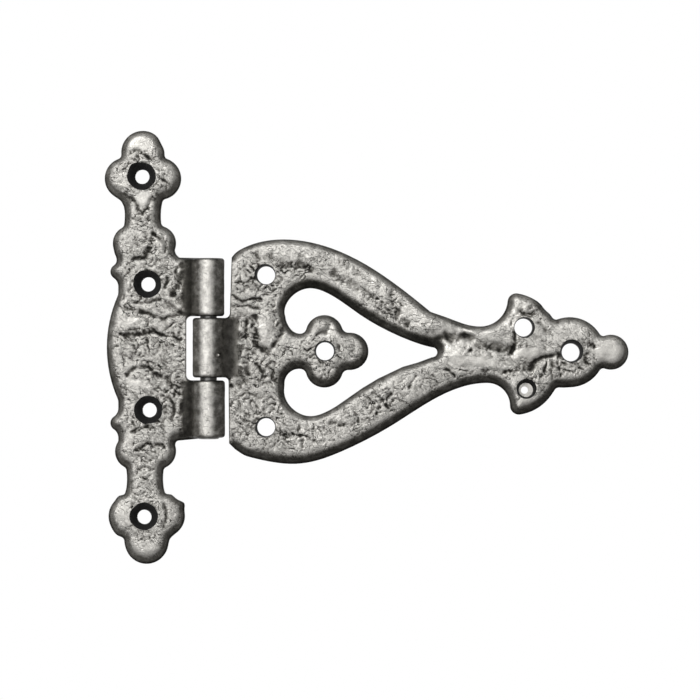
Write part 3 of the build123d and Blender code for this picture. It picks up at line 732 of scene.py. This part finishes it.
strap_patches = [
    (116.5, -1.2, 4.6, 3.8, 0.9), (76.5, -4.2, 7.0, 2.0, 0.85), (93.5, -1.6, 4.5, 1.6, 0.8),
    (89.8, 12.6, 2.2, 2.8, 0.7), (93.5, -15.8, 3.5, 2.2, 0.8), (16.6, 5.2, 2.5, 5.0, 0.7),
    (60.0, 9.5, 6.0, 3.0, 0.5), (104.0, 5.0, 4.5, 2.0, 0.5), (36.0, -24.5, 5.0, 2.0, 0.4),
    (34.5, 4.6, 2.6, 1.8, 0.5), (12.0, -18.0, 3.5, 3.0, 0.4), (87.0, 1.0, 21.0, 8.0, 0.5),
    (44.0, 19.5, 12.0, 5.0, 0.45), (23.0, 27.5, 8.0, 3.0, 0.45), (58.0, -11.0, 7.0, 3.0, 0.4),
    (32.0, -28.0, 9.0, 3.0, 0.35), (71.0, 3.0, 7.0, 3.6, 0.7),
]
strap_mould = 1, strap_eyes, 9.4, 61, strap_marks, strap_patches
# How bright the painted shade beside the barrel is, and the rim: plain, painted lighter facing left by, painted
# darker facing down by.
strap_shade_tones = 0.38, (0.44, 0.06, 0.14)
strap, strap_finish_and_shade = cast_leaf("door_casting", "door_strap", strap_holes + [flash_hole], strap_pushes, strap_mould,
                                strap_shade_tones, strap_stains_and_shade, back_seed=41, rim_from=6.6)
joined(strap, [knuckle(*ends, 5, 1.01) for ends in strap_eyes], "UNION")
bore = turned("bore", [-30, 30], [2.53, 2.53])
hole_depths, hole_radius = [-0.2, 1.2, 3.4, 4.9], 2.6
leans = [(-0.45, 0.4), (-0.35, 0.2), (-0.1, 0.15), (0.3, 0.6), (0.35, 0.1)]
mouths = [(2.9, 3.3), (2.9, 3.3), (2.9, 3.3), (3.2, 3.7), (2.9, 3.3)]
lower = [0, 0, 0, 0.35, 0]
cutters = [drill("hole", x, z - by, hole_depths, [hole_radius, hole_radius, *mouth], lean)
           for (x, z), by, mouth, lean in zip(strap_holes, lower, mouths, leans)]
cutters.append(drill("well", *flash_hole, [0.8, 4.6], [2.05, 3.1], (0.0, 0.4)))
cutters.append(drill("leak", flash_hole[0] - 0.4, flash_hole[1] - 0.06, [-0.2, 1.2], [1.05, 1.05]))
cutters.append(drill("pit", *pit, [7.6, 9.3], [0.18, 1.36]))
joined(strap, [bore] + cutters, "DIFFERENCE")
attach(strap, "door_leaf")
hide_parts("door_strap")
floors = [(*pit, 0.25, pin_y), (*flash_hole, 2.3, -0.5)]
finished_and_shaded(strap, strap_finish_and_shade, strap_eyes, floors, strap_holes + [flash_hole], hole_reach=3.5)

# HINGE PIN
# A length of steel rod driven through the three eyes, rounded at the top and
# hammered over below, where the hammer left it wider than the hole.
along = [-26.65, -26.6, -26.45, -26.22, -26.15, 25.45, 25.7, 25.8]
radius = [2.2, 2.7, 3.02, 3.05, 2.44, 2.44, 2.2, 1.6]
pin = placed("driven_pin", turned("driven_pin", along, radius))
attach(pin, "frame_leaf")
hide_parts("hinge_pin")
pin.data.shade_smooth()
pin.data.set_sharp_from_angle(angle=np.radians(40))
steel, tree, bsdf = shader("pin_steel")
place = node(tree, "ShaderNodeTexCoord").outputs["Object"]
stretched = node(tree, "ShaderNodeMapping", Vector=place, Scale=(900.0, 900.0, 60.0)).outputs[0]
scratch = noise(tree, stretched, 1.0, 3.0)["Fac"]
colour = ramp(tree, scratch, (0.0, 0.10, 0.098, 0.094), (1.0, 0.55, 0.54, 0.52))
tree.links.new(colour, bsdf.inputs["Base Color"])
bsdf.inputs["Metallic"].default_value = 1.0
bsdf.inputs["Roughness"].default_value = 0.34
bump = node(tree, "ShaderNodeBump", Strength=0.5, Distance=0.00004, Height=scratch)
tree.links.new(bump.outputs[0], bsdf.inputs["Normal"])
pin.data.materials.append(steel)

# CAMERA AND LIGHT
# The camera looks square on from about a metre, as the photograph does. One big
# soft lamp stands up and to the left, in a white room. Sizes are in metres here.
sensor, distance, seen_width = 36, 1.066, 0.2033
camera = placed("camera", bpy.data.cameras.new("camera"))
bpy.context.scene.camera = camera
camera.location = (0.05857, -1.07, -0.00077)
camera.rotation_euler = (np.pi / 2, 0, 0)
camera.data.sensor_width = sensor
camera.data.lens = sensor * distance / seen_width
camera.data.clip_start, camera.data.clip_end = 0.05, 20

world = bpy.data.worlds.new("studio")
bpy.context.scene.world = world
world.use_nodes = True
tree = world.node_tree
tree.nodes.clear()
ray = node(tree, "ShaderNodeLightPath").outputs
sees_white = maths(tree, "MAXIMUM", ray["Is Camera Ray"], ray["Is Glossy Ray"])
sees_white = maths(tree, "MAXIMUM", sees_white, ray["Is Transmission Ray"])
fill = node(tree, "ShaderNodeBackground", Color=(0.30, 0.30, 0.30, 1)).outputs[0]
white = node(tree, "ShaderNodeBackground", Color=(1, 1, 1, 1)).outputs[0]
room = node(tree, "ShaderNodeMixShader", in_0=sees_white, in_1=fill, in_2=white).outputs[0]
node(tree, "ShaderNodeOutputWorld", Surface=room)

lamp = placed("key", bpy.data.lights.new("key", "AREA"))
lamp.data.shape = "RECTANGLE"
lamp.data.size, lamp.data.size_y = 0.8, 0.8
lamp.data.energy = 9
lamp.location = (-0.55, -0.95, 0.65)
lamp.rotation_euler = (Vector((0.05, 0, 0)) - lamp.location).to_track_quat("-Z", "Y").to_euler()
lamp.visible_camera = False

# A ring of dark cards round the lens gives the bare metal something dark to mirror.
steps, ring_radius = 64, 0.55
turn = np.linspace(0, 2 * np.pi, steps, endpoint=False)
ring = np.stack([0.06 + ring_radius * np.cos(turn), 0 * turn, ring_radius * np.sin(turn)], 1)
here = np.arange(steps)
there = (here + 1) % steps
cards = bpy.data.meshes.new("cards")
cards.from_pydata(np.concatenate([ring + [-0.20, -1.0, 0.15], ring + [0, 0.10, 0]]), [],
                  np.stack([here, there, there + steps, here + steps], 1).tolist())
tent = placed("cards", cards)
card, tree, bsdf = shader("dark_card")
bsdf.inputs["Base Color"].default_value = (0.02, 0.02, 0.02, 1)
bsdf.inputs["Roughness"].default_value = 1.0
bsdf.inputs["Emission Color"].default_value = (1, 1, 1, 1)
bsdf.inputs["Emission Strength"].default_value = 0.09
cards.materials.append(card)
tent.visible_camera = tent.visible_diffuse = tent.visible_shadow = tent.visible_transmission = False

# A pale sheet below the hinge takes its shadow; the camera sees it nearly white, and clear from below.
left, right, front, back, level = -0.7, 0.85, -0.8, 0.22, -0.125
floor_mesh = bpy.data.meshes.new("floor")
sheet_corners = [(left, front, level), (right, front, level), (right, back, level), (left, back, level)]
floor_mesh.from_pydata(sheet_corners, [], [(0, 1, 2, 3)])
floor = placed("floor", floor_mesh)
paper, tree, bsdf = shader("pale_paper")
bsdf.inputs["Base Color"].default_value = (0.85, 0.85, 0.85, 1)
bsdf.inputs["Roughness"].default_value = 0.9
bsdf.inputs["Emission Color"].default_value = (1, 1, 1, 1)
ray = node(tree, "ShaderNodeLightPath").outputs
seen = maths(tree, "MAXIMUM", ray["Is Camera Ray"], ray["Is Transmission Ray"])
tree.links.new(maths(tree, "MULTIPLY", seen, 0.58), bsdf.inputs["Emission Strength"])
clear = node(tree, "ShaderNodeBsdfTransparent").outputs[0]
from_below = node(tree, "ShaderNodeNewGeometry").outputs["Backfacing"]
sheet = node(tree, "ShaderNodeMixShader", in_0=from_below, in_1=bsdf.outputs[0], in_2=clear).outputs[0]
tree.links.new(sheet, tree.nodes["Material Output"].inputs["Surface"])
floor_mesh.materials.append(paper)
floor.visible_glossy = False

bpy.context.scene.view_settings.view_transform = "Standard"
